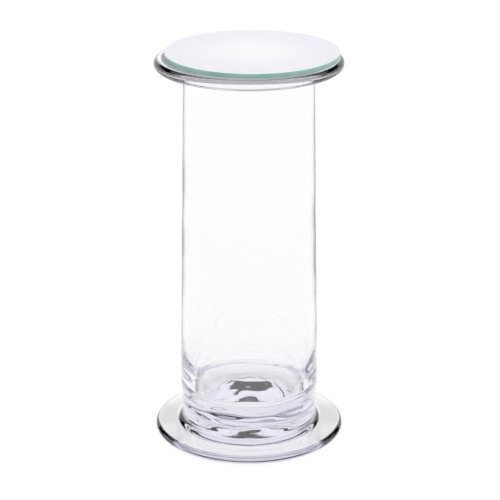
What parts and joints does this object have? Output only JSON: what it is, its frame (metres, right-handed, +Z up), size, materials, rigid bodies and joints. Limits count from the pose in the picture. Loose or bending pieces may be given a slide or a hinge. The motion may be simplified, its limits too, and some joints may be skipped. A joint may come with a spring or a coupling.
{
  "type": "gas jar with ground-glass cover",
  "caption": "Clear glass laboratory cylinder on a solid foot, with a ground top flange closed by a loose ground-glass disc, for collecting and keeping gases.",
  "frame": {"origin": "centre of the foot's underside, on the jar's axis", "axes": "+Z up along the jar's axis to the cover, +X to the right and +Y to the back as the jar is seen from the front"},
  "size_m": [0.0736, 0.0736, 0.152],
  "materials": {
    "clear_glass": "polished clear glass, ground matt on the flange's top face",
    "sheet_glass": "sheet glass with a ground lower face and green cut edge"
  },
  "bodies": {
    "root": {"gas_jar": "clear_glass", "cover_plate": "sheet_glass"}
  },
  "joints": []
}
